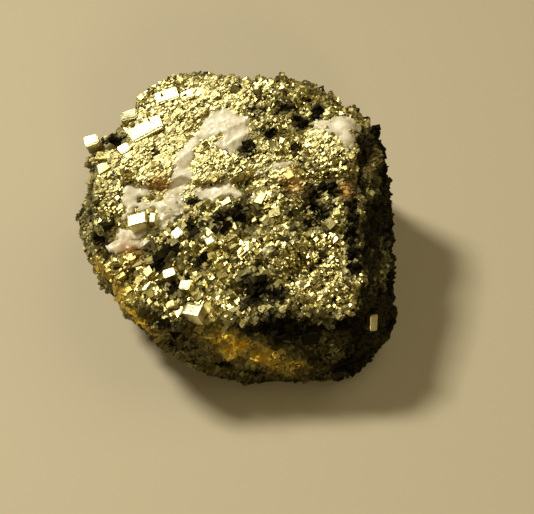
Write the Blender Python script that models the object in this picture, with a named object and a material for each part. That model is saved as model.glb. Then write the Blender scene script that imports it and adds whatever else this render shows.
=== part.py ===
"""A hand-sized lump of massive granular pyrite, with milky quartz and larger single crystals grown into it.

Metres, +Z up. The lump rests on its flat break at z = 0, with the origin under the middle of its bounding
box. -Y is the front, towards which the long top face slopes down, and +X is the right.
"""

import math

import bmesh
import bpy
from mathutils import Euler, Matrix, Quaternion, Vector, noise

MM = 0.001

# The lump. Every direction and distance below is measured from its heart, in millimetres.
HEART_HEIGHT = 14.0
SPHERE_LEVEL = 5  # each level up has four times the triangles
EDGE_SHARPNESS = 20.0  # the higher, the crisper the edges between breaks
LUMP_SIZES = ((11.0, 0.060), (5.0, 0.030), (2.6, 0.016))  # width in mm, height as a share of the radius

# The breaks that shape the lump: the way each one faces, and how far from the heart it lies.
BREAKS = {
    "long_slope": ((-0.04, -0.34, 0.94), 9.8),
    "front": ((-0.04, -0.98, -0.16), 16.4),
    "front_edge": ((0.10, -0.85, 0.52), 16.2),
    "front_right": ((0.70, -0.71, -0.02), 22.3),
    "right": ((0.93, -0.10, 0.35), 19.0),
    "right_back": ((0.66, 0.68, 0.32), 25.6),
    "back": ((0.12, 0.92, 0.36), 23.8),
    "back_left": ((-0.52, 0.80, 0.30), 25.4),
    "left_back": ((-0.84, 0.44, 0.32), 27.6),
    "left": ((-0.95, -0.02, 0.31), 22.9),
    "left_front": ((-0.76, -0.60, -0.26), 19.4),
    "left_under": ((-0.62, -0.30, -0.72), 18.0),
    "right_under": ((0.80, 0.10, -0.59), 22.4),
    "back_under": ((0.05, 0.80, -0.60), 23.5),
}

# Knobs and hollows: the way out to the middle of each, its half-width, and its height or, below zero, depth.
RELIEF = {
    "left_knob": ((-22.0, 8.5, 12.0), 2.6, 3.2),
    "top_cleft": ((-18.5, 11.8, 12.6), 1.6, -1.6),
    "side_cleft": ((-21.5, 13.5, 6.5), 2.8, -3.0),
    "corner_knob": ((-22.0, -4.5, 4.0), 3.0, 1.2),
    "corner_pit": ((-21.0, -4.5, 5.5), 1.8, -1.3),
    "back_notch": ((13.5, 15.0, 14.5), 3.0, -2.2),
    "middle_pit": ((0.0, -1.8, 9.5), 2.6, -0.9),
    "slope_pit": ((-1.0, -12.5, 5.4), 2.8, -0.8),
    "front_notch": ((9.0, -16.0, 1.5), 3.4, -1.3),
}

SOCKET_GAP = 0.3

# Single crystals: the way out from the heart to each, its sides in mm, its turn in degrees, and the share of
# its third side that stands clear of the mass.
CRYSTALS = {
    "crystal_left_bright": ((-16.0, -2.8, 9.4), (2.7, 1.9, 2.2), (7, -16, 4), 0.34),
    "crystal_left_slim": ((-13.5, -2.4, 9.3), (0.9, 1.7, 1.4), (12, -8, -6), 0.36),
    "crystal_left_round": ((-9.8, -4.8, 8.6), (1.3, 1.3, 1.5), (8, -15, 38), 0.40),
    "crystal_left_knob": ((-21.1, 8.1, 12.7), (2.0, 1.8, 2.2), (6, -12, 12), 0.30),
    "crystal_cleft_knob": ((-17.6, 7.6, 12.8), (1.6, 1.5, 1.8), (7, -15, 30), 0.38),
    "crystal_top_left": ((-17.1, 13.7, 13.1), (2.5, 1.9, 2.2), (5, -14, 8), 0.30),
    "crystal_top_oblong": ((-15.0, 11.1, 13.9), (5.2, 2.4, 2.4), (4, -15, 26), 0.34),
    "crystal_top_bulge": ((-11.6, 15.4, 15.4), (3.7, 2.2, 2.4), (8, -14, 12), 0.32),
    "crystal_top_small": ((-8.5, 15.0, 15.4), (1.8, 1.6, 2.0), (6, -13, 22), 0.32),
    "crystal_middle": ((-5.1, -5.8, 8.1), (1.4, 1.2, 1.5), (6, -14, 24), 0.38),
    "crystal_low_middle": ((-8.4, -12.3, 6.0), (1.7, 1.4, 1.7), (10, -18, -18), 0.38),
    "crystal_low_left": ((-11.0, -10.8, 6.8), (1.7, 1.2, 1.7), (5, -13, 12), 0.36),
    "crystal_low_bright": ((-7.0, -15.3, 4.5), (2.6, 2.0, 2.3), (8, -16, -24), 0.36),
    "crystal_front_block": ((9.0, -16.3, -0.1), (2.2, 2.2, 2.4), (84, 0, 4), 0.27),
    "crystal_right": ((18.3, -13.2, -1.3), (1.5, 2.3, 2.2), (62, 26, 30), 0.34),
}

# Milky quartz grown into the surface: the way out to the middle of each piece, its half-widths to the right
# and to the back, its depth, and its turn in degrees about the line out of the surface.
QUARTZ_LEVEL = 3
QUARTZ_PIECES = {
    "quartz_seam": ((-3.5, 10.7, 14.0), (3.5, 3.2, 1.6), -20),
    "quartz_tail": ((-9.3, 6.6, 12.2), (1.1, 2.9, 1.2), -18),
    "quartz_tail_end": ((-9.6, 2.8, 10.9), (1.0, 2.1, 1.1), -21),
    "quartz_middle": ((-4.4, 1.7, 11.0), (2.6, 1.3, 1.2), 10),
    "quartz_left": ((-16.4, 1.2, 10.2), (1.7, 2.1, 1.2), -20),
    "quartz_left_front": ((-11.3, -0.7, 9.7), (1.9, 1.4, 1.2), 30),
    "quartz_corner": ((-15.7, -5.3, 7.5), (3.0, 0.9, 1.2), 54),
    "quartz_right": ((14.0, 10.7, 14.6), (4.2, 1.5, 1.4), -8),
}

# Surface look of each kind of piece: base colour, metallic, roughness.
LOOKS = {
    "pyrite": ((0.42, 0.36, 0.20, 1.0), 1.0, 0.42),
    "crystal": ((0.78, 0.70, 0.46, 1.0), 1.0, 0.20),
    "quartz": ((0.80, 0.73, 0.58, 1.0), 0.0, 0.50),
}


def clear_scene():
    for obj in list(bpy.data.objects):
        bpy.data.objects.remove(obj)


def material(look):
    found = bpy.data.materials.get(look)
    if found:
        return found
    made = bpy.data.materials.new(look)
    made.use_nodes = True
    shader = made.node_tree.nodes["Principled BSDF"]
    colour, metallic, roughness = LOOKS[look]
    shader.inputs["Base Color"].default_value = colour
    shader.inputs["Metallic"].default_value = metallic
    shader.inputs["Roughness"].default_value = roughness
    made.diffuse_color = colour
    return made


def helper_collection(name):
    """A collection whose objects only cut others, so they stay out of the render."""
    made = bpy.data.collections.new(name)
    made.hide_render = True
    bpy.context.scene.collection.children.link(made)
    return made


def add_object(name, mesh, collection, look=None):
    obj = bpy.data.objects.new(name, mesh)
    collection.objects.link(obj)
    if look:
        mesh.materials.clear()
        mesh.materials.append(material(look))
    else:
        obj.hide_render = True
        obj.display_type = "WIRE"
    return obj


def radius_along(way):
    """Millimetres from the heart to the surface, along a unit vector."""
    crowding = 0.0
    for facing, distance in BREAKS.values():
        nearness = way.dot(Vector(facing).normalized()) / distance
        crowding += max(nearness, 0.0) ** EDGE_SHARPNESS
    radius = crowding ** (-1.0 / EDGE_SHARPNESS)
    swell = sum(height * noise.noise(way * radius / width) for width, height in LUMP_SIZES)
    relief = 0.0
    for toward, half_width, height in RELIEF.values():
        apart = (way - Vector(toward).normalized()).length * radius / half_width
        relief += height * math.exp(-apart * apart)
    return radius * (1.0 + swell) + relief


def facing_at(way):
    """The way that the surface faces, where this unit vector from the heart meets it."""
    aside = way.orthogonal().normalized() * 0.05
    corners = []
    for third in range(3):
        near = (way + Quaternion(way, third * math.tau / 3) @ aside).normalized()
        corners.append(near * radius_along(near))
    return (corners[1] - corners[0]).cross(corners[2] - corners[0]).normalized()


def lump_mesh():
    """The whole lump about its heart, with its flat underside, in millimetres."""
    bm = bmesh.new()
    bmesh.ops.create_icosphere(bm, subdivisions=SPHERE_LEVEL, radius=1.0)
    for vertex in bm.verts:
        way = vertex.co.normalized()
        vertex.co = way * radius_along(way)
    underside = Vector((0.0, 0.0, -HEART_HEIGHT))
    everything = bm.verts[:] + bm.edges[:] + bm.faces[:]
    bmesh.ops.bisect_plane(bm, geom=everything, plane_co=underside, plane_no=(0, 0, -1), clear_outer=True)
    bmesh.ops.holes_fill(bm, edges=[edge for edge in bm.edges if edge.is_boundary])
    bmesh.ops.recalc_face_normals(bm, faces=bm.faces)
    mesh = bpy.data.meshes.new("pyrite_mass")
    bm.to_mesh(mesh)
    bm.free()
    return mesh


def heart_of(mesh):
    """Where the heart has to stand for the origin to lie under the middle of the mesh's bounding box."""
    xs = [vertex.co.x for vertex in mesh.vertices]
    ys = [vertex.co.y for vertex in mesh.vertices]
    return Vector((-(min(xs) + max(xs)) / 2, -(min(ys) + max(ys)) / 2, HEART_HEIGHT))


def box_mesh(name, sides):
    bm = bmesh.new()
    bmesh.ops.create_cube(bm, size=1.0)
    bmesh.ops.scale(bm, vec=[side * MM for side in sides], verts=bm.verts)
    mesh = bpy.data.meshes.new(name)
    bm.to_mesh(mesh)
    bm.free()
    return mesh


def blob_mesh(name, half_widths):
    bm = bmesh.new()
    bmesh.ops.create_icosphere(bm, subdivisions=QUARTZ_LEVEL, radius=1.0)
    bmesh.ops.scale(bm, vec=[width * MM for width in half_widths], verts=bm.verts)
    mesh = bpy.data.meshes.new(name)
    bm.to_mesh(mesh)
    bm.free()
    return mesh


def add_crystal(name, heart, cutters):
    """A crystal seated in the mass, and the cutter of its socket."""
    toward, sides, turn, proud = CRYSTALS[name]
    way = Vector(toward).normalized()
    rotation = Euler([math.radians(angle) for angle in turn]).to_quaternion()
    sunk = rotation @ Vector((0, 0, sides[2] * (0.5 - proud)))
    place = heart + way * radius_along(way) - sunk
    grown = [side + 2 * SOCKET_GAP for side in sides]
    crystal = add_object(name, box_mesh(name, sides), bpy.context.scene.collection, "crystal")
    socket = add_object(name + "_socket", box_mesh(name + "_socket", grown), cutters)
    for obj in (crystal, socket):
        obj.matrix_world = Matrix.Translation(place * MM) @ rotation.to_matrix().to_4x4()


def add_quartz(name, heart, lump, blobs, cutters):
    """A piece of quartz with the lump's own surface on top, and the cutter of its hollow."""
    toward, half_widths, turn = QUARTZ_PIECES[name]
    way = Vector(toward).normalized()
    place = heart + way * radius_along(way)
    rotation = facing_at(way).to_track_quat("Z", "Y") @ Quaternion((0, 0, 1), math.radians(turn))
    grown = [width + SOCKET_GAP for width in half_widths]
    blob = add_object(name + "_blob", blob_mesh(name + "_blob", half_widths), blobs)
    hollow = add_object(name + "_hollow", blob_mesh(name + "_hollow", grown), cutters)
    for obj in (blob, hollow):
        obj.matrix_world = Matrix.Translation(place * MM) @ rotation.to_matrix().to_4x4()
    piece = add_object(name, lump.copy(), bpy.context.scene.collection, "quartz")
    shape = piece.modifiers.new("shape", "BOOLEAN")
    shape.operation = "INTERSECT"
    shape.solver = "EXACT"
    shape.object = blob


def main():
    clear_scene()
    lump = lump_mesh()
    heart = heart_of(lump)
    lump.transform(Matrix.Scale(MM, 4) @ Matrix.Translation(heart))
    cutters = helper_collection("cutters")
    blobs = helper_collection("blobs")
    mass = add_object("pyrite_mass", lump.copy(), bpy.context.scene.collection, "pyrite")
    for name in CRYSTALS:
        add_crystal(name, heart, cutters)
    for name in QUARTZ_PIECES:
        add_quartz(name, heart, lump, blobs, cutters)
    sockets = mass.modifiers.new("sockets", "BOOLEAN")
    sockets.operation = "DIFFERENCE"
    sockets.solver = "EXACT"
    sockets.operand_type = "COLLECTION"
    sockets.collection = cutters


main()
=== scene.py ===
"""The looks of the pyrite cluster: its grains, crystals, quartz, materials, light and camera.

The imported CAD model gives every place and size. Everything is in the CAD's frame, with +Z up and the
front towards -Y. Shapes are worked out in millimetres and become metres when their mesh is made.
"""

import math
from collections import namedtuple

import bmesh
import bpy
import numpy as np
from mathutils import Matrix, Vector, noise
from mathutils.bvhtree import BVHTree
from mathutils.kdtree import KDTree

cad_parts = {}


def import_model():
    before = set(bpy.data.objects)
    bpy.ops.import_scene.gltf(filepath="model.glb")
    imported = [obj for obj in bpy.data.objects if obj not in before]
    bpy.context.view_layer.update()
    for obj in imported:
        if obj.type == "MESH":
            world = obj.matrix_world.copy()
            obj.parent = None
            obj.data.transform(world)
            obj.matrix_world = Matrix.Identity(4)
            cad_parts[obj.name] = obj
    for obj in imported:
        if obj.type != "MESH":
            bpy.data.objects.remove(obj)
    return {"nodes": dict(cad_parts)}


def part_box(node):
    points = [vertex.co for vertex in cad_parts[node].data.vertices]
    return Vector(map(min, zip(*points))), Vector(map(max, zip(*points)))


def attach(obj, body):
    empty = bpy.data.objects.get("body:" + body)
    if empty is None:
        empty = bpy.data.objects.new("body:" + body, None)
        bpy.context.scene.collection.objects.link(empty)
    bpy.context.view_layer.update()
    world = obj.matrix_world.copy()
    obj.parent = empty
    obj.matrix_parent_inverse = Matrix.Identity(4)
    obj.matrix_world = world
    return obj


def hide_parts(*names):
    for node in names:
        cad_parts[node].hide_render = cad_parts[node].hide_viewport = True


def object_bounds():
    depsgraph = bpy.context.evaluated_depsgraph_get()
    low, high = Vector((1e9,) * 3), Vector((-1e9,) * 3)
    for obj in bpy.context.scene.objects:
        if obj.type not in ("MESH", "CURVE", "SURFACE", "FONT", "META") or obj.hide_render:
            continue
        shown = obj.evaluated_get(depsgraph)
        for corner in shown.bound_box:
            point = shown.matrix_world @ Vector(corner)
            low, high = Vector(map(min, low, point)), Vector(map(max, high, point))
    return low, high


MM = 0.001
RNG = np.random.default_rng(7)
OUTSIDE = -99.0  # mm: the depth of a point that lies far outside an outline

# A closed surface in mm, with a normal for each point, and faces that grains can stand on.
Lump = namedtuple("Lump", "points quads edges normals")
Surface = namedtuple("Surface", "middles outward area free")

# A metal has a dull and a bright colour, a range of roughness, and how far its grains differ in tone.
Metal = namedtuple("Metal", "name dull bright roughness grain_share")

# widths are a grain's least and most in mm, and stretch makes them a length, a width and a height.
# astray is how far in degrees grains turn from their setting, which a whole domain shares or which lies
# along the surface. proud is the range of a grain's lift as a share of its size, dark_share the share of
# tarnished grains, and skew the crookedness of their corners.
Kind = namedtuple("Kind", "name metal count widths stretch shared astray proud dark_share skew")

# ---- places on the lump, each a middle and a half-width in mm ----

FOIL = (
    ((-9.5, 3.5, 26.5), 8.5),
    ((-3.0, 9.0, 28.5), 6.0),
    ((-17.5, 0.0, 26.0), 4.0),
    ((14.0, 4.5, 28.0), 3.2),
    ((-3.0, -2.6, 25.0), 2.4),
    ((5.6, 0.2, 26.0), 2.6),
)
COARSE = (
    ((-9.0, -14.5, 20.0), 7.0),
    ((-3.0, -9.0, 23.0), 5.0),
    ((3.0, -7.0, 23.0), 5.0),
    ((0.0, -20.0, 12.0), 8.0),
    ((-20.2, 1.0, 26.2), 2.6),
    ((-15.0, 8.0, 28.0), 2.0),
)
# Places of painted shade: dark pockets and notches, and a dark line along the right edge.
SHADE_PLACES = (
    ((11.2, -7.0, 23.7), 1.9),
    ((3.0, -16.8, 19.3), 2.4),
    ((6.5, -21.0, 15.5), 2.8),
    ((2.2, -6.6, 23.2), 2.2),
    ((-1.4, -7.4, 23.2), 1.6),
    ((-5.3, -4.8, 24.2), 1.2),
    ((-5.4, -8.2, 22.9), 1.5),
    ((-12.6, -11.4, 21.5), 1.4),
    ((-8.9, -11.6, 21.8), 1.4),
    ((-11.6, -20.0, 17.0), 1.8),
    ((-10.2, -13.2, 20.6), 1.3),
    ((-4.6, -13.2, 20.8), 1.0),
    ((8.0, -3.6, 24.9), 1.0),
    ((11.2, -3.6, 25.1), 1.4),
    ((14.4, -3.4, 25.3), 1.5),
    ((17.0, -3.4, 25.3), 1.3),
    ((17.1, -5.6, 24.4), 1.2),
    ((17.2, -7.8, 23.5), 1.2),
    ((17.2, -10.0, 22.6), 1.2),
    ((17.2, -12.2, 21.6), 1.2),
    ((17.2, -14.4, 20.6), 1.2),
    ((6.0, -17.6, 19.0), 1.3),
    ((-19.4, -8.9, 19.8), 2.0),
    ((-17.6, -10.8, 20.6), 1.4),
    ((-14.0, -14.6, 19.4), 1.2),
    ((-8.2, -17.0, 18.6), 1.5),
    ((-17.1, 4.5, 27.2), 1.4),
    ((9.7, 6.7, 28.3), 1.3),
    ((12.2, 8.0, 28.8), 1.3),
    ((2.3, 2.6, 26.9), 1.4),
    ((5.2, 5.2, 27.8), 1.0),
    ((7.6, 9.2, 29.0), 1.2),
    ((3.6, 8.4, 28.8), 1.0),
)
# Places of a painted golden reflection of the floor, along the lower left rim and the front.
GOLD_REFLECTION_PLACES = (
    ((-19.2, -11.6, 17.8), 1.8),
    ((-16.0, -15.0, 17.0), 2.6),
    ((-13.7, -19.0, 14.5), 2.6),
    ((-4.0, -19.8, 16.0), 1.3),
    ((-1.6, -20.8, 14.0), 1.7),
    ((1.0, -21.3, 11.0), 2.2),
    ((4.5, -21.3, 8.0), 2.4),
    ((8.0, -21.0, 5.0), 2.4),
)
RUSTY = (
    ((-10.4, -2.0, 24.8), 1.4),
    ((9.0, -2.2, 25.5), 1.5),
    ((16.4, -3.6, 25.3), 0.9),
    ((-14.6, -11.7, 21.5), 1.6),
)
PITS = (
    ((-1.0, -6.8, 23.5), 1.1),
    ((2.9, -6.8, 22.8), 1.3),
    ((-5.3, -7.6, 22.6), 0.9),
    ((8.6, -14.0, 21.0), 0.8),
    ((1.0, -16.9, 19.0), 1.5),
    ((4.3, -13.4, 21.0), 0.9),
    ((11.1, -6.3, 24.0), 1.3),
    ((-19.4, -8.9, 19.8), 1.5),
    ((-17.2, 4.3, 27.2), 1.0),
)

# ---- the surface that carries the grains: a cube blown up to a ball and drawn onto the lump ----

CUTS_PER_SIDE = 127
JITTER = 0.32  # of a cell of that cube, so that the surface shows no rows
HEART_SHARE = 0.46  # the height of the ball's middle, as a share of the lump's
FAR = 60.0  # mm: a distance from the heart that is safely outside the lump
GAP_RINGS = 3  # rings of points that close a socket's gap
SOCKET_STEPS = 80  # rounds of smoothing that carry the surface across a crystal's socket
SMOOTHING_STEPS = 3

# The relief, in mm. Layers of noise each have a height, a width and an offset.
SINK = 0.25  # the surface lies this far inside the CAD's, to leave room for the grains
BUMPS = ((0.50, 5.5, 3.0), (0.40, 2.4, 0.0))
TOP_STARTS = (17.0, 21.0)  # the heights between which the relief of the top sets in
CREST_HEIGHT = 0.55
CREST_SHARPNESS = 2.2
CREST_NOISE = (1.0, 2.3, 5.0)
RIDGE_WAY = np.array((0.82, 0.50, 0.28))  # ridges, plates and long grains run this way
RIDGE_WAY /= np.linalg.norm(RIDGE_WAY)
RIDGE_SQUEEZE = 0.78  # how much of a point's place along the ridges is taken away, to draw them out
FOIL_CALM = 0.5  # the share of the crests and facets that the foil loses
LEDGE_HEIGHT = 1.2
LEDGE_BACK = -1.6  # behind this the top stands a step higher
LEDGE_HALF_WIDTH = 0.4
LEDGE_DROP = 0.6  # the share of the ledge's height that lies below the surface around it
LEDGE_NOISE = (1.2, 4.0, 7.0)
LEDGE_LEFT = (-20.0, -13.0)  # the ledge sets in between these, and fades out between the next two
LEDGE_RIGHT = (19.0, 12.0)
PIT_DEPTH = 1.8
ROUGHNESS_NOISE = (0.20, 1.1, 9.0)
QUARTZ_BED = 0.45  # the mass lies this much deeper under quartz
QUARTZ_BED_EDGE = (-0.5, 0.1)
BASE_FADE = (0.1, 1.6)  # the relief sets in between these heights, so that the base stays flat
CREVICE_SHADE_RANGE = (0.02, 0.30)  # how far below its neighbours a point lies, from none to full painted shade in the crevices

# The facets of the surface between the grains.
CELLS = 9000
CELL_SLOPE = 0.50
CELL_STEP = 0.14

# ---- zones of colour: painted shade, a painted golden reflection, tarnish and rust ----

ZONE_PATCHES = ((1.0, 4.5, 11.0), (0.5, 1.4, 2.0))
ZONE_WANDER = ((1.0, 1.8, 31.0), (1.0, 1.8, 37.0), (1.0, 1.8, 41.0))  # along X, Y and Z
# Painted shade on the steep sides, strongest on those that face right and forward.
SIDE_SHADE_UPWARD = (0.66, 0.40)  # the upward share of the way out, from lit to full painted shade
SIDE_SHADE_STRENGTH = 0.96
SIDE_SHADE_PATCHES = 0.06
SHADE_FACING = 0.76  # the share of that painted shade on a side that faces neither right nor forward
SHADE_FACING_RIGHT = 0.32
SHADE_FACING_FRONT = 0.10
SHADE_PLACES_STRENGTH = 2.0
PATCHY_TARNISH = 0.5  # tarnish elsewhere, as a share of how far the patches pass their start
PATCHY_START = 0.1
PATCHY_MOST = 0.5
GOLD_REFLECTION_STRENGTH = 0.9
RUSTY_STRENGTH = 1.2
RUSTY_PATCHES = 0.6

# ---- grains ----

GRAINS = Metal("pyrite_grains", (0.36, 0.29, 0.08), (0.95, 0.85, 0.38), (0.25, 0.40), 0.5)
PLATES = Metal("pyrite_plates", (0.50, 0.43, 0.17), (0.72, 0.64, 0.31), (0.40, 0.54), 0.5)
BETWEEN = Metal("pyrite_between_grains", (0.26, 0.21, 0.07), (0.72, 0.63, 0.26), (0.28, 0.44), 0.0)
CRYSTALS = Metal("pyrite_crystals", (0.60, 0.54, 0.28), (0.78, 0.72, 0.42), (0.34, 0.44), 0.0)

KINDS = (
    Kind("foil_plates", PLATES, 16000, (0.16, 0.50), (1.5, 0.9, 0.5), shared=False,
         astray=13, proud=(-0.2, 0.1), dark_share=0.08, skew=0.20),
    Kind("sugar_grains", GRAINS, 15500, (0.20, 0.52), (1.0, 1.0, 1.0), shared=False,
         astray=34, proud=(-0.2, 0.15), dark_share=0.28, skew=0.20),
    Kind("blocky_grains", GRAINS, 11000, (0.24, 0.72), (1.15, 1.0, 0.85), shared=True,
         astray=9, proud=(-0.35, 0.0), dark_share=0.16, skew=0.18),
    Kind("coarse_grains", GRAINS, 2400, (0.45, 1.15), (1.3, 1.0, 0.8), shared=True,
         astray=14, proud=(-0.35, 0.05), dark_share=0.25, skew=0.18),
)
STRAYS = 0.03  # the chance that a zone's grains have outside their zone
FOIL_SHARPNESS = 1.5
BLOCKY_PATCHES = (1.0, 5.0, 20.0)
BLOCKY_PATCH_EDGE = (-0.1, 0.3)
BLOCKY_BETWEEN = 0.3
QUARTZ_FRINGE = (0.5, 0.0)  # mm inside the quartz, where grains still lie over its edge
QUARTZ_FRINGE_CHANCE = 0.15
CRYSTAL_CLEARANCE = 0.25  # mm
GRAIN_SCATTER = 0.12  # mm
SMALL_BIAS = 1.7  # above 1, small grains outnumber large ones
UNEVEN_SIDES = (0.7, 1.3)
DARK_GRAIN = (0.5, 1.0)  # how tarnished a dark grain is
PLATES_FACE = np.array((-0.27, -0.22, 0.94))  # the plates of the foil lean this way
PLATES_LEAN = (0.32, 0.68)  # shares of the surface's way out and of the plates' way in their setting
DOMAIN_WIDTH = 3.0  # mm
DOMAIN_SPREAD = 27.0  # degrees

CUBE_CORNERS = np.array([(x, y, z) for x in (-0.5, 0.5) for y in (-0.5, 0.5) for z in (-0.5, 0.5)])
CUBE_FACES = np.array([(0, 1, 3, 2), (4, 6, 7, 5), (0, 4, 5, 1), (2, 3, 7, 6), (0, 2, 6, 4), (1, 5, 7, 3)])

# ---- crystals: a few are crisp, and the others are crooked and worn ----

CRISP = (
    "crystal_left_bright",
    "crystal_left_slim",
    "crystal_low_bright",
    "crystal_middle",
    "crystal_front_block",
)
# This crystal is painted dark all over.
DARKENED_CRYSTAL = "crystal_front_block"
CRISP_CORNERS = (0.96, 1.0)  # how far a corner stands out, as a share of a true box's
WORN_CORNERS = (0.88, 1.08)
CRISP_BEVEL = 0.018  # mm
WORN_BEVEL = 0.09  # of the shortest side
TERRACE = 0.035  # mm
TERRACE_RIM = (0.07, 0.13)  # of the shortest side

# ---- quartz: strokes from an end to an end with a half-width in mm ----

QUARTZ_SPURS = (  # these join or lengthen the CAD's pieces
    ((-6.8, 2.4, 26.4), (-3.9, 5.8, 27.9), 0.9),
    ((-8.2, 0.0, 25.8), (-8.2, -1.8, 25.2), 0.6),
    ((-14.8, -2.8, 24.4), (-12.4, -3.0, 24.4), 1.1),
    ((-12.9, -4.9, 23.8), (-9.2, -4.6, 24.0), 0.9),
    ((-9.0, -3.4, 24.5), (-8.6, -5.4, 23.8), 0.9),
    ((-14.6, -4.0, 24.0), (-14.9, -6.0, 23.3), 0.8),
    ((-10.4, -7.6, 23.0), (-15.8, -8.8, 22.2), 1.0),
    ((-1.0, -3.2, 25.0), (2.6, -4.0, 24.7), 0.4),
    ((13.0, 5.9, 28.4), (17.4, 4.0, 28.0), 1.2),
)
QUARTZ_VEINS = (
    ((4.6, -11.3, 21.9), (9.6, -9.8, 22.4), 0.52),
    ((-1.2, -17.6, 19.6), (2.6, -18.1, 19.4), 0.52),
    ((14.4, -13.4, 21.0), (15.6, -17.6, 19.4), 0.56),
    ((3.2, -0.6, 25.7), (8.2, 0.8, 26.2), 0.55),
)
QUARTZ_CLEFTS = (
    ((-4.3, 3.9, 27.1), (-1.6, 4.8, 27.5), 0.28),
    ((-13.4, -4.0, 24.1), (-9.8, -3.7, 24.3), 0.22),
)
QUARTZ_REACH = 3.0  # mm: further than this from its CAD piece there is no quartz
QUARTZ_EDGE = ((0.75, 1.7, 4.0), (0.45, 0.75, 8.0))
QUARTZ_GROWTH = 0.22  # mm that the quartz reaches past its outline
VEIN_WANDER = 0.5
QUARTZ_LUMPS = ((0.16, 1.3, 6.0), (0.10, 0.7, 0.0))
QUARTZ_SINK = 0.22  # mm at its rim, before the crown raises it
QUARTZ_CROWN = 0.28  # mm
QUARTZ_CROWN_EDGE = (0.0, 0.7)
QUARTZ_THICKNESS = 1.1  # mm below the broad relief
STAIN_STRENGTH = 1.5

# ---- colours, light and camera ----

# The colour of painted shade and of tarnish.
SHADE_AND_TARNISH = (0.014, 0.011, 0.005, 1.0)
# The colour of a painted golden reflection of the floor.
REFLECTED_GOLD = (0.95, 0.68, 0.08, 1.0)
RUST = (0.56, 0.37, 0.12, 1.0)
BETWEEN_SHADE = (0.020, 0.016, 0.007, 1.0)
SHADE_TARNISH_AND_RUST_ROUGHNESS = 0.34
QUARTZ_DULL = (0.62, 0.54, 0.35, 1.0)
QUARTZ_BRIGHT = (0.93, 0.87, 0.70, 1.0)
QUARTZ_STAIN = (0.42, 0.24, 0.08, 1.0)
FLOOR = (0.50, 0.43, 0.29, 1.0)
SURROUNDINGS = (0.056, 0.045, 0.020, 1.0)

# Each lamp's name, the way to it, and its size in m, power in W and colour.
LAMPS = (
    ("key", (-0.50, 0.20, 0.84), 0.09, 2.45, (1.0, 0.96, 0.84)),
    ("fill", (0.45, 0.10, 0.88), 0.36, 0.50, (1.0, 0.90, 0.62)),
    ("front", (0.12, -0.85, 0.50), 0.07, 0.45, (1.0, 0.86, 0.52)),
)
LAMP_AWAY = 0.5  # m

CAMERA_AIM = (5.0, -5.8, 13.0)  # mm
CAMERA_AWAY = 0.19  # m
CAMERA_ELEVATION = 50  # degrees
CAMERA_LENS = 86  # mm


# ---- helpers ----


def unit(vectors):
    return vectors / np.linalg.norm(vectors, axis=-1, keepdims=True)


def smooth_step(low, high, values):
    share = np.clip((values - low) / (high - low), 0.0, 1.0)
    return share * share * (3.0 - 2.0 * share)


def noise_at(points, *layers):
    """Smooth noise in layers, each with a height, a width in mm and an offset."""
    total = np.zeros(len(points))
    for height, width, offset in layers:
        total += height * np.array([noise.noise(point) for point in points / width + offset])
    return total


def nearness(points, places):
    """1 in the middle of any of the places, falling to 0 outside them."""
    most = np.zeros(len(points))
    for middle, half_width in places:
        apart = np.linalg.norm(points - np.array(middle), axis=1) / half_width
        most = np.maximum(most, np.exp(-apart * apart))
    return most


def inside_strokes(points, strokes):
    """How far inside the nearest stroke each point lies in mm, or below 0 outside them."""
    deepest = np.full(len(points), OUTSIDE)
    for start, end, half_width in strokes:
        start, along = np.array(start), np.subtract(end, start)
        share = np.clip((points - start) @ along / (along @ along), 0.0, 1.0)
        apart = np.linalg.norm(points - start - share[:, None] * along, axis=1)
        deepest = np.maximum(deepest, half_width - apart)
    return deepest


def mesh_of(name, points, faces):
    """A mesh in metres with flat faces, from points in mm and faces that all have as many corners."""
    mesh = bpy.data.meshes.new(name)
    mesh.vertices.add(len(points))
    mesh.vertices.foreach_set("co", (points * MM).ravel())
    mesh.loops.add(faces.size)
    mesh.loops.foreach_set("vertex_index", faces.ravel())
    mesh.polygons.add(len(faces))
    mesh.polygons.foreach_set("loop_start", np.arange(0, faces.size, faces.shape[1]))
    mesh.update(calc_edges=True)
    mesh.shade_flat()
    return mesh


def points_of(mesh):
    """The mesh's points in mm."""
    flat = np.empty(len(mesh.vertices) * 3)
    mesh.vertices.foreach_get("co", flat)
    return flat.reshape(-1, 3) / MM


def add_object(name, data):
    made = bpy.data.objects.new(name, data)
    bpy.context.scene.collection.objects.link(made)
    return made


def add_piece(name, mesh, material, slot, *nodes):
    """A piece of the object, which stands for these CAD nodes."""
    piece = add_object(name, mesh)
    mesh.materials.clear()
    mesh.materials.append(material)
    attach(piece, "root")
    if nodes:
        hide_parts(*nodes)


def nodes_named(nodes, start):
    return [node for name, node in nodes.items() if name.startswith(start)]


def tree_of(nodes):
    """A BVH tree over several CAD nodes, in mm."""
    points, faces = [], []
    for node in nodes:
        first = len(points)
        points.extend(vertex.co / MM for vertex in node.data.vertices)
        faces.extend([first + i for i in polygon.vertices] for polygon in node.data.polygons)
    return BVHTree.FromPolygons(points, faces)


def distance_to(tree, points):
    return np.array([tree.find_nearest(point)[3] for point in points])


def nearest_of(seeds, points):
    """Which seed lies nearest to each point."""
    tree = KDTree(len(seeds))
    for i, seed in enumerate(seeds):
        tree.insert(seed, i)
    tree.balance()
    return np.array([tree.find(point)[1] for point in points])


def neighbour_mean(values, edges):
    """The mean of each value's neighbours along the edges."""
    a, b = edges.T
    size = len(values)
    total = np.bincount(a, values[b], size) + np.bincount(b, values[a], size)
    return total / (np.bincount(a, minlength=size) + np.bincount(b, minlength=size))


def spread(values, edges, choose):
    """Each value becomes the most (np.maximum) or the least (np.minimum) of those a few rings around."""
    a, b = edges.T
    for _ in range(GAP_RINGS):
        wider = values.copy()
        choose.at(wider, a, values[b])
        choose.at(wider, b, values[a])
        values = wider
    return values


# ---- the surface of the mass ----


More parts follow.
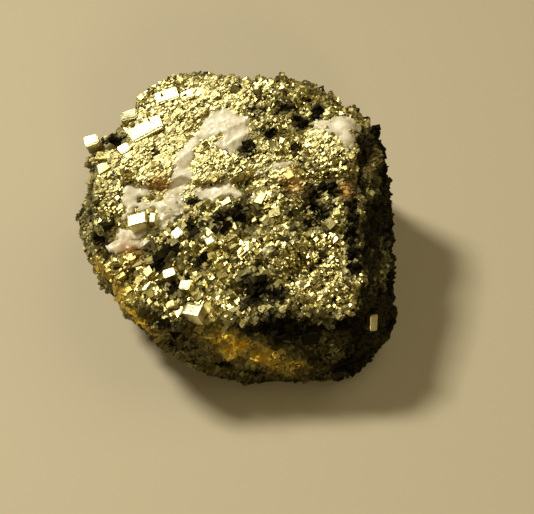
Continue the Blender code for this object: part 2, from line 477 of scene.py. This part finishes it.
def cube_ball():
    """(ways, quads, edges): unit vectors all round, joined as a finely cut cube."""
    bm = bmesh.new()
    bmesh.ops.create_cube(bm, size=2.0)
    bmesh.ops.subdivide_edges(bm, edges=bm.edges[:], cuts=CUTS_PER_SIDE, use_grid_fill=True)
    corners = np.array([vertex.co for vertex in bm.verts])
    quads = np.array([[vertex.index for vertex in face.verts] for face in bm.faces])
    edges = np.array([[vertex.index for vertex in edge.verts] for edge in bm.edges])
    bm.free()
    corners += RNG.uniform(-1.0, 1.0, corners.shape) * JITTER * 2.0 / (CUTS_PER_SIDE + 1)
    return unit(np.tan(corners * math.pi / 4)), quads, edges


def reach(ways, heart, tree):
    """How far the tree's outside lies from the heart along each way, or 0 where there is none."""
    found = np.zeros(len(ways))
    for i, way in enumerate(ways):
        outward = Vector(way)
        distance = tree.ray_cast(heart + outward * FAR, -outward)[3]
        if distance is not None:
            found[i] = FAR - distance
    return found


def bare_lump(nodes):
    """The CAD lump with its sockets and gaps closed."""
    ways, quads, edges = cube_ball()
    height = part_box("pyrite_mass")[1][2] / MM
    heart = Vector((0, 0, height * HEART_SHARE))
    rock = [node for name, node in nodes.items() if not name.startswith("crystal")]
    radius = reach(ways, heart, tree_of(rock))
    over_crystal = reach(ways, heart, tree_of(nodes_named(nodes, "crystal"))) > 0
    socket = spread(over_crystal.astype(float), edges, np.maximum) > 0
    radius = spread(spread(radius, edges, np.maximum), edges, np.minimum)
    for _ in range(SOCKET_STEPS):
        radius[socket] = neighbour_mean(radius, edges)[socket]
    for _ in range(SMOOTHING_STEPS):
        radius = (radius + neighbour_mean(radius, edges)) / 2
    points = np.array(heart) + ways * radius[:, None]
    mesh = mesh_of("bare_lump", points, quads)
    normals = np.array([vertex.normal for vertex in mesh.vertices])
    bpy.data.meshes.remove(mesh)
    return Lump(points, quads, edges, normals)


def mosaic(points):
    """Heights of small tilted facets, each a cell round its own seed."""
    seeds = points[RNG.choice(len(points), CELLS, replace=False)]
    cell = nearest_of(seeds, points)
    slopes = RNG.normal(0.0, CELL_SLOPE, (CELLS, 3))
    steps = RNG.uniform(-CELL_STEP, CELL_STEP, CELLS)
    return np.einsum("ij,ij->i", slopes[cell], points - seeds[cell]) + steps[cell]


def swell_of(points):
    """The broad relief in mm: bumps, the ledge across the top, and ridges that climb to the right."""
    top = smooth_step(*TOP_STARTS, points[:, 2])
    squeezed = points - np.outer(points @ RIDGE_WAY, RIDGE_WAY) * RIDGE_SQUEEZE
    crests = 1.0 - CREST_SHARPNESS * np.abs(noise_at(squeezed, CREST_NOISE))
    height = noise_at(points, *BUMPS) - SINK
    height += CREST_HEIGHT * crests * top * (1.0 - FOIL_CALM * nearness(points, FOIL))
    behind = points[:, 1] - LEDGE_BACK + noise_at(points, LEDGE_NOISE)
    middle = smooth_step(*LEDGE_LEFT, points[:, 0]) * smooth_step(*LEDGE_RIGHT, points[:, 0])
    step = smooth_step(-LEDGE_HALF_WIDTH, LEDGE_HALF_WIDTH, behind) - LEDGE_DROP
    return height + LEDGE_HEIGHT * step * top * middle


def grain_of(points, swell, bed):
    """The broad relief with its facets and pits, sunk where quartz lies."""
    facets = mosaic(points) * (1.0 - FOIL_CALM * nearness(points, FOIL))
    rough = swell + (facets + noise_at(points, ROUGHNESS_NOISE)) - PIT_DEPTH * nearness(points, PITS)
    return rough * (1.0 - bed) + (swell - QUARTZ_BED) * bed


def raised(lump, height):
    """The lump's points moved out by the height, but never below the ground."""
    settled = height * smooth_step(*BASE_FADE, lump.points[:, 2])
    moved = lump.points + lump.normals * settled[:, None]
    moved[:, 2] = np.maximum(moved[:, 2], 0.0)
    return moved


# ---- zones of colour: painted shade, a painted golden reflection, tarnish and rust ----


def painted_light_and_stains_at(points, outward):
    """How much painted shade with tarnish, painted golden reflection and rust each place has, from 0 to 1,
    by where it lies and where it faces.
    """
    patchy = noise_at(points, *ZONE_PATCHES)
    wandering = points + np.stack([noise_at(points, layer) for layer in ZONE_WANDER], axis=1)
    # Painted shade on the steep sides and at the shade places, with patches of tarnish added after.
    side_shade = SIDE_SHADE_STRENGTH * smooth_step(*SIDE_SHADE_UPWARD, outward[:, 2] + SIDE_SHADE_PATCHES * patchy)
    shade_facing = np.clip(SHADE_FACING + SHADE_FACING_RIGHT * outward[:, 0] - SHADE_FACING_FRONT * outward[:, 1], 0.0, 1.0)
    shade_and_tarnish = np.maximum(side_shade * shade_facing, nearness(wandering, SHADE_PLACES) * SHADE_PLACES_STRENGTH)
    patches = np.clip(patchy - PATCHY_START, 0.0, PATCHY_MOST)
    shade_and_tarnish = np.clip(shade_and_tarnish + PATCHY_TARNISH * patches, 0.0, 1.0)
    reflected_gold = np.clip(nearness(wandering, GOLD_REFLECTION_PLACES) * (GOLD_REFLECTION_STRENGTH + patchy), 0.0, 1.0)
    rusty = np.clip(nearness(wandering, RUSTY) * (RUSTY_STRENGTH + RUSTY_PATCHES * patchy), 0.0, 1.0)
    return shade_and_tarnish * (1.0 - reflected_gold), reflected_gold, rusty


def paint(mesh, shade_and_tarnish, reflected_gold, rusty, depth):
    """Stores the zones on the mesh: painted shade with tarnish, a painted golden reflection and rust, and
    in depth how deep between its neighbours each point lies, which sets painted shade in the crevices.
    """
    zones = mesh.attributes.new("zones", "FLOAT_COLOR", "POINT")
    zones.data.foreach_set("color", np.stack((shade_and_tarnish, reflected_gold, rusty, depth), axis=1).ravel())


def add_mass(lump, height, grown):
    mass = mesh_of("mass_surface", grown, lump.quads)
    # Painted shade in the crevices, where a point lies below the mean of its neighbours.
    around = neighbour_mean(neighbour_mean(height, lump.edges), lump.edges)
    crevice_shade = smooth_step(*CREVICE_SHADE_RANGE, around - height)
    paint(mass, *painted_light_and_stains_at(lump.points, lump.normals), crevice_shade)
    add_piece("mass_surface", mass, pyrite_material(BETWEEN), "pyrite", "pyrite_mass")


# ---- grains ----


def turns(angles, axes):
    """Rotation matrices from angles in radians and unit axes, one per row."""
    x, y, z = axes.T
    zero = np.zeros(len(x))
    skew = np.moveaxis(np.array(((zero, -z, y), (z, zero, -x), (-y, x, zero))), 2, 0)
    sine = np.sin(angles)[:, None, None]
    cosine = np.cos(angles)[:, None, None]
    return np.eye(3) + sine * skew + (1.0 - cosine) * (skew @ skew)


def slight_turns(count, degrees):
    """Random rotations that mostly turn by less than these degrees."""
    return turns(RNG.normal(0.0, math.radians(degrees), count), unit(RNG.normal(size=(count, 3))))


def lying_along(outward):
    """Rotations that set a plate's Z out of the surface but leaning, and its X along the ridges."""
    up = unit(outward * PLATES_LEAN[0] + PLATES_FACE * PLATES_LEAN[1])
    across = unit(np.cross(up, RIDGE_WAY))
    return np.stack((np.cross(across, up), across, up), axis=2)


def shared_settings(surface, place):
    """Each grain's setting where neighbours share one, each domain of them with its own."""
    domain_count = int(surface.area.sum() / DOMAIN_WIDTH**2)
    chosen = RNG.choice(len(surface.middles), domain_count, replace=False)
    domains = slight_turns(len(chosen), DOMAIN_SPREAD) @ lying_along(surface.outward[chosen])
    return domains[nearest_of(surface.middles[chosen], place)]


def grain_surface(lump, depth, grown, top, crystals):
    """The faces that grains stand on, over the mass and the quartz, each with how free it is for them."""
    inside = depth[lump.quads].min(axis=1)
    corners = np.where((inside > 0.0)[:, None, None], top[lump.quads], grown[lump.quads])
    middles = corners.mean(axis=1)
    across = np.cross(corners[:, 2] - corners[:, 0], corners[:, 3] - corners[:, 1])
    free = np.where(inside > 0.0, QUARTZ_FRINGE_CHANCE * smooth_step(*QUARTZ_FRINGE, inside), 1.0)
    free *= distance_to(tree_of(crystals), middles) > CRYSTAL_CLEARANCE
    outward = unit(lump.normals[lump.quads].mean(axis=1))
    return Surface(middles, outward, np.linalg.norm(across, axis=1) / 2, free)


def chances_of(surface):
    """How likely each face is to carry a grain, by kind."""
    foil = nearness(surface.middles, FOIL)
    coarse = nearness(surface.middles, COARSE)
    patches = smooth_step(*BLOCKY_PATCH_EDGE, noise_at(surface.middles, BLOCKY_PATCHES))
    elsewhere = surface.free * (1.0 + STRAYS - foil)
    return {
        "foil_plates": surface.free * foil**FOIL_SHARPNESS,
        "sugar_grains": elsewhere,
        "blocky_grains": elsewhere * (BLOCKY_BETWEEN + patches),
        "coarse_grains": surface.free * (coarse + STRAYS),
    }


def grain_mesh(kind, surface, chance):
    """Small crooked blocks of one kind, set into the surface."""
    weight = surface.area * chance
    picked = RNG.choice(len(weight), kind.count, p=weight / weight.sum())
    place = surface.middles[picked] + RNG.uniform(-GRAIN_SCATTER, GRAIN_SCATTER, (kind.count, 3))
    outward = surface.outward[picked]
    smallest, largest = kind.widths
    width = smallest * (largest / smallest) ** (RNG.uniform(0, 1, kind.count) ** SMALL_BIAS)
    sides = width[:, None] * np.array(kind.stretch) * RNG.uniform(*UNEVEN_SIDES, (kind.count, 3))
    setting = shared_settings(surface, place) if kind.shared else lying_along(outward)
    astray = slight_turns(kind.count, kind.astray)
    crooked = CUBE_CORNERS[None] + RNG.uniform(-kind.skew, kind.skew, (kind.count, 8, 3))
    grains = np.einsum("nij,nkj->nki", setting @ astray, crooked * sides[:, None, :])
    lift = sides.mean(axis=1) * RNG.uniform(*kind.proud, kind.count)
    grains += (place + outward * lift[:, None])[:, None, :]
    grains[:, :, 2] -= np.minimum(grains[:, :, 2].min(axis=1), 0.0)[:, None]
    faces = (CUBE_FACES[None] + 8 * np.arange(kind.count)[:, None, None]).reshape(-1, 4)
    mesh = mesh_of(kind.name, grains.reshape(-1, 3), faces)
    shade_and_tarnish, reflected_gold, rusty = painted_light_and_stains_at(place, outward)
    darkness = RNG.uniform(*DARK_GRAIN, kind.count)
    dark = RNG.uniform(0, 1, kind.count) < kind.dark_share
    zones = (np.maximum(shade_and_tarnish, darkness * dark), reflected_gold, rusty, np.zeros(kind.count))
    paint(mesh, *(np.repeat(zone, 8) for zone in zones))
    return mesh


def add_grains(surface):
    chances = chances_of(surface)
    materials = {metal: pyrite_material(metal) for metal in (GRAINS, PLATES)}
    for kind in KINDS:
        mesh = grain_mesh(kind, surface, chances[kind.name])
        add_piece(kind.name, mesh, materials[kind.metal], "pyrite")


# ---- crystals ----


def cuboid_of(node):
    """(middle, axes, sides) of a CAD crystal in mm, with the axis that points most upward last."""
    facings = [polygon.normal.copy() for polygon in node.data.polygons]
    up = max(facings, key=lambda facing: facing.z)
    side = min(facings, key=lambda facing: abs(facing.dot(up)))
    axes = np.array((side, up.cross(side), up))
    along = points_of(node.data) @ axes.T
    low, high = along.min(axis=0), along.max(axis=0)
    return (low + high) / 2 @ axes, axes, high - low


def add_terraces(bm, smallest):
    """Raises two low growth terraces on each face of a crystal with this shortest side."""
    for _ in range(2):
        faces = sorted(bm.faces, key=lambda face: -face.calc_area())[:6]
        for face in faces:
            rim = smallest * RNG.uniform(*TERRACE_RIM)
            bmesh.ops.inset_region(bm, faces=[face], thickness=rim, use_even_offset=True)
            slide = Vector(RNG.uniform(-0.5, 0.5, 3)) * rim
            slide -= slide.dot(face.normal) * face.normal
            bmesh.ops.translate(bm, vec=slide + face.normal * TERRACE, verts=face.verts)


def crystal_mesh(node):
    """A crisp crystal with low growth terraces, or a crooked one with worn edges."""
    middle, axes, sides = cuboid_of(node)
    smallest = float(min(sides))
    crisp = node.name in CRISP
    corner_range = CRISP_CORNERS if crisp else WORN_CORNERS
    bm = bmesh.new()
    bmesh.ops.create_cube(bm, size=1.0)
    for vertex in bm.verts:
        vertex.co *= Vector(RNG.uniform(*corner_range, 3))
    bmesh.ops.scale(bm, vec=sides, verts=bm.verts)
    if crisp:
        add_terraces(bm, smallest)
        offset, segments = CRISP_BEVEL, 1
    else:
        offset, segments = WORN_BEVEL * smallest, 3
    bmesh.ops.bevel(bm, geom=bm.edges[:], offset=offset, segments=segments, affect="EDGES")
    turn = Matrix(axes).transposed().to_4x4()
    placed = Matrix.Scale(MM, 4) @ Matrix.Translation(middle) @ turn
    bmesh.ops.transform(bm, matrix=placed, verts=bm.verts)
    bmesh.ops.recalc_face_normals(bm, faces=bm.faces)
    mesh = bpy.data.meshes.new(node.name)
    bm.to_mesh(mesh)
    bm.free()
    return mesh


def add_crystals(crystals):
    material = pyrite_material(CRYSTALS)
    for node in crystals:
        mesh = crystal_mesh(node)
        # One crystal is painted dark all over.
        shade_and_tarnish = 1.0 if node.name == DARKENED_CRYSTAL else 0.0
        paint(mesh, *np.outer((shade_and_tarnish, 0.0, 0.0, 0.0), np.ones(len(mesh.vertices))))
        add_piece(node.name + "_grown", mesh, material, "crystal", node.name)


# ---- quartz ----


def inside_ellipse(points, node, outward):
    """How far inside the outline of a CAD piece of quartz each point lies in mm, or below 0 outside."""
    corners = points_of(node.data)
    middle = corners.mean(axis=0)
    flat = corners - middle
    flat -= np.outer(flat @ outward, outward)
    axes = np.linalg.svd(flat, full_matrices=False)[2][:2]
    half_widths = np.abs(flat @ axes.T).max(axis=0)
    aside = np.linalg.norm((points - middle) @ axes.T / half_widths, axis=1)
    away = np.abs((points - middle) @ outward) > QUARTZ_REACH
    return np.where(away, OUTSIDE, (1.0 - aside) * half_widths.min())


def quartz_outline(lump, nodes):
    """(depth, owner): how far inside the quartz each point lies, and which CAD piece it belongs to."""
    points = lump.points
    depths = []
    for node in nodes:
        middle = points_of(node.data).mean(axis=0)
        outward = lump.normals[nearest_of(points, [middle])[0]]
        depths.append(inside_ellipse(points, node, outward))
    depths = np.array(depths)
    depth = np.maximum(depths.max(axis=0), inside_strokes(points, QUARTZ_SPURS))
    ragged = noise_at(points, *QUARTZ_EDGE) + QUARTZ_GROWTH
    depth = np.where(depth > -QUARTZ_REACH, depth + ragged, depth)
    wandering = points + VEIN_WANDER * ragged[:, None]
    depth = np.maximum(depth, inside_strokes(wandering, QUARTZ_VEINS))
    return np.minimum(depth, -inside_strokes(points, QUARTZ_CLEFTS)), depths.argmax(axis=0)


def quartz_height(lump, swell, depth):
    """The height of the quartz's surface: the broad relief with lumps, and a crown away from the rim."""
    lumpy = noise_at(lump.points, *QUARTZ_LUMPS) - QUARTZ_SINK
    return swell + lumpy + QUARTZ_CROWN * smooth_step(*QUARTZ_CROWN_EDGE, depth)


def quartz_mesh(name, quads, top, bottom):
    """A closed slab over these quads, from its top points down to its bottom points."""
    used, quads = np.unique(quads, return_inverse=True)
    quads = quads.reshape(-1, 4)
    ends = np.stack((quads, np.roll(quads, -1, axis=1)), axis=2).reshape(-1, 2)
    key = np.sort(ends, axis=1)
    _, first, times = np.unique(key, axis=0, return_index=True, return_counts=True)
    rim = ends[first[times == 1]]
    count = len(used)
    walls = np.column_stack((rim[:, 1], rim[:, 0], rim[:, 0] + count, rim[:, 1] + count))
    faces = np.concatenate((quads, quads[:, ::-1] + count, walls))
    mesh = mesh_of(name, np.concatenate((top[used], bottom[used])), faces)
    mesh.shade_smooth()
    return mesh


def add_quartz(nodes, lump, depth, owner, top, bottom):
    milky = quartz_material()
    whole = depth[lump.quads].min(axis=1) > 0.0
    for i, node in enumerate(nodes):
        chosen = lump.quads[whole & (owner[lump.quads[:, 0]] == i)]
        mesh = quartz_mesh(node.name + "_grown", chosen, top, bottom)
        stain = mesh.attributes.new("stain", "FLOAT", "POINT")
        rusty = nearness(points_of(mesh), RUSTY)
        stain.data.foreach_set("value", np.clip(rusty * STAIN_STRENGTH, 0.0, 1.0))
        add_piece(mesh.name, mesh, milky, "quartz", node.name)


# ---- materials ----


def new_material(name):
    material = bpy.data.materials.new(name)
    material.use_nodes = True
    tree = material.node_tree
    return material, tree, tree.nodes["Principled BSDF"]


def fill(tree, socket, value):
    """Gives a socket its value, or links it to another node's output."""
    if isinstance(value, bpy.types.NodeSocket):
        tree.links.new(value, socket)
    else:
        socket.default_value = value


def add_node(tree, kind, settings=None, **inputs):
    """A shader node with its settings and its inputs, each a value or another node's output."""
    made = tree.nodes.new("ShaderNode" + kind)
    for key, value in (settings or {}).items():
        setattr(made, key, value)
    for key, value in inputs.items():
        fill(tree, made.inputs[key.replace("_", " ")], value)
    return made


def mixed(tree, share, under, over):
    return add_node(tree, "MixRGB", Fac=share, Color1=under, Color2=over).outputs["Color"]


def combined(tree, operation, first, second):
    """Two numbers, each a value or an output, combined by a Math node."""
    made = add_node(tree, "Math", {"operation": operation})
    fill(tree, made.inputs[0], first)
    fill(tree, made.inputs[1], second)
    return made.outputs["Value"]


def stretched(tree, value, low, high, to_low=0.0, to_high=1.0):
    """The value mapped from one range to another, and held inside it."""
    ends = {"From_Min": low, "From_Max": high, "To_Min": to_low, "To_Max": to_high}
    made = add_node(tree, "MapRange", Value=value, **ends)
    return made.outputs["Result"]


def cloud_at(tree, place, scale, detail):
    """Noise in the material, by place, with this many features to the metre."""
    position = place.outputs["Position"]
    return add_node(tree, "TexNoise", Scale=scale, Detail=detail, Vector=position).outputs["Fac"]


def add_bump(tree, shader, height, strength, distance):
    bump = add_node(tree, "Bump", Height=height, Strength=strength, Distance=distance)
    tree.links.new(bump.outputs["Normal"], shader.inputs["Normal"])


def pyrite_material(metal):
    """Brassy metal with painted shade and tarnish, a painted golden reflection and rust by zone, painted
    shade in the crevices, and a tone that varies from grain to grain.
    """
    material, tree, shader = new_material(metal.name)
    place = add_node(tree, "NewGeometry")
    zones = add_node(tree, "Attribute", {"attribute_name": "zones"})
    zone = add_node(tree, "SeparateColor", Color=zones.outputs["Color"])
    cloud = cloud_at(tree, place, 900.0, 4.0)
    lot = combined(tree, "MULTIPLY", place.outputs["Random Per Island"], metal.grain_share)
    tone = stretched(tree, combined(tree, "ADD", lot, cloud), 0.35, 0.65 + metal.grain_share)
    colour = mixed(tree, tone, (*metal.dull, 1.0), (*metal.bright, 1.0))
    # Painted shade with tarnish, a painted golden reflection, rust, and painted shade in the crevices.
    colour = mixed(tree, zone.outputs["Red"], colour, SHADE_AND_TARNISH)
    colour = mixed(tree, zone.outputs["Green"], colour, REFLECTED_GOLD)
    colour = mixed(tree, zone.outputs["Blue"], colour, RUST)
    colour = mixed(tree, zones.outputs["Alpha"], colour, BETWEEN_SHADE)
    tree.links.new(colour, shader.inputs["Base Color"])
    shader.inputs["Metallic"].default_value = 1.0
    mottle = stretched(tree, cloud, 0.3, 0.7, *metal.roughness)
    shade_tarnish_and_rust = combined(tree, "MAXIMUM", zone.outputs["Red"], zone.outputs["Blue"])
    rough = combined(tree, "ADD", mottle, combined(tree, "MULTIPLY", shade_tarnish_and_rust, SHADE_TARNISH_AND_RUST_ROUGHNESS))
    tree.links.new(rough, shader.inputs["Roughness"])
    add_bump(tree, shader, cloud_at(tree, place, 3600.0, 2.0), 0.9, 0.00005)
    return material


def quartz_material():
    """Milky quartz, cloudy inside and stained near the rusty places."""
    material, tree, shader = new_material("milky_quartz")
    place = add_node(tree, "NewGeometry")
    stain = add_node(tree, "Attribute", {"attribute_name": "stain"})
    tone = stretched(tree, cloud_at(tree, place, 700.0, 5.0), 0.35, 0.65)
    colour = mixed(tree, tone, QUARTZ_DULL, QUARTZ_BRIGHT)
    colour = mixed(tree, stain.outputs["Fac"], colour, QUARTZ_STAIN)
    tree.links.new(colour, shader.inputs["Base Color"])
    shader.inputs["Roughness"].default_value = 0.34
    shader.inputs["Subsurface Weight"].default_value = 0.3
    shader.inputs["Subsurface Radius"].default_value = (1.0, 0.8, 0.55)
    shader.inputs["Subsurface Scale"].default_value = 0.0008
    add_bump(tree, shader, cloud_at(tree, place, 3500.0, 3.0), 0.5, 0.00004)
    return material


# ---- stage ----


def add_lamp(name, toward, size, power, colour, aim):
    light = bpy.data.lights.new(name, "AREA")
    light.size = size
    light.energy = power
    light.color = colour
    made = add_object(name, light)
    way = Vector(toward).normalized()
    made.location = aim + way * LAMP_AWAY
    made.rotation_euler = way.to_track_quat("Z", "Y").to_euler()


def add_stage(aim):
    """A pale floor, three soft lamps aimed at this place, and a dim room around them."""
    bpy.ops.mesh.primitive_plane_add(size=3.0)
    floor = bpy.context.object
    floor.name = "floor"
    material, _, shader = new_material("floor")
    shader.inputs["Base Color"].default_value = FLOOR
    shader.inputs["Roughness"].default_value = 0.7
    floor.data.materials.append(material)
    for lamp in LAMPS:
        add_lamp(*lamp, aim)
    world = bpy.data.worlds.new("world")
    bpy.context.scene.world = world
    world.use_nodes = True
    world.node_tree.nodes["Background"].inputs["Color"].default_value = SURROUNDINGS


def add_camera():
    """Straight on to the front and well above it, as a close-up is taken."""
    data = bpy.data.cameras.new("camera")
    data.lens = CAMERA_LENS
    data.clip_start = 0.005
    camera = add_object("camera", data)
    elevation = math.radians(CAMERA_ELEVATION)
    way = Vector((0.0, -math.cos(elevation), math.sin(elevation)))
    camera.location = Vector(CAMERA_AIM) * MM + way * CAMERA_AWAY
    camera.rotation_euler = way.to_track_quat("Z", "Y").to_euler()
    bpy.context.scene.camera = camera


def main():
    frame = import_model()
    cad_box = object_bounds()
    nodes = frame["nodes"]
    quartz = nodes_named(nodes, "quartz")
    crystals = nodes_named(nodes, "crystal")

    lump = bare_lump(nodes)
    depth, owner = quartz_outline(lump, quartz)
    swell = swell_of(lump.points)
    height = grain_of(lump.points, swell, smooth_step(*QUARTZ_BED_EDGE, depth))
    grown = raised(lump, height)
    top = raised(lump, quartz_height(lump, swell, depth))
    bottom = raised(lump, swell - QUARTZ_THICKNESS)

    add_mass(lump, height, grown)
    add_grains(grain_surface(lump, depth, grown, top, crystals))
    add_crystals(crystals)
    add_quartz(quartz, lump, depth, owner, top, bottom)
    add_stage((Vector(cad_box[0]) + Vector(cad_box[1])) / 2)
    add_camera()
    bpy.context.scene.view_settings.view_transform = "Standard"


main()
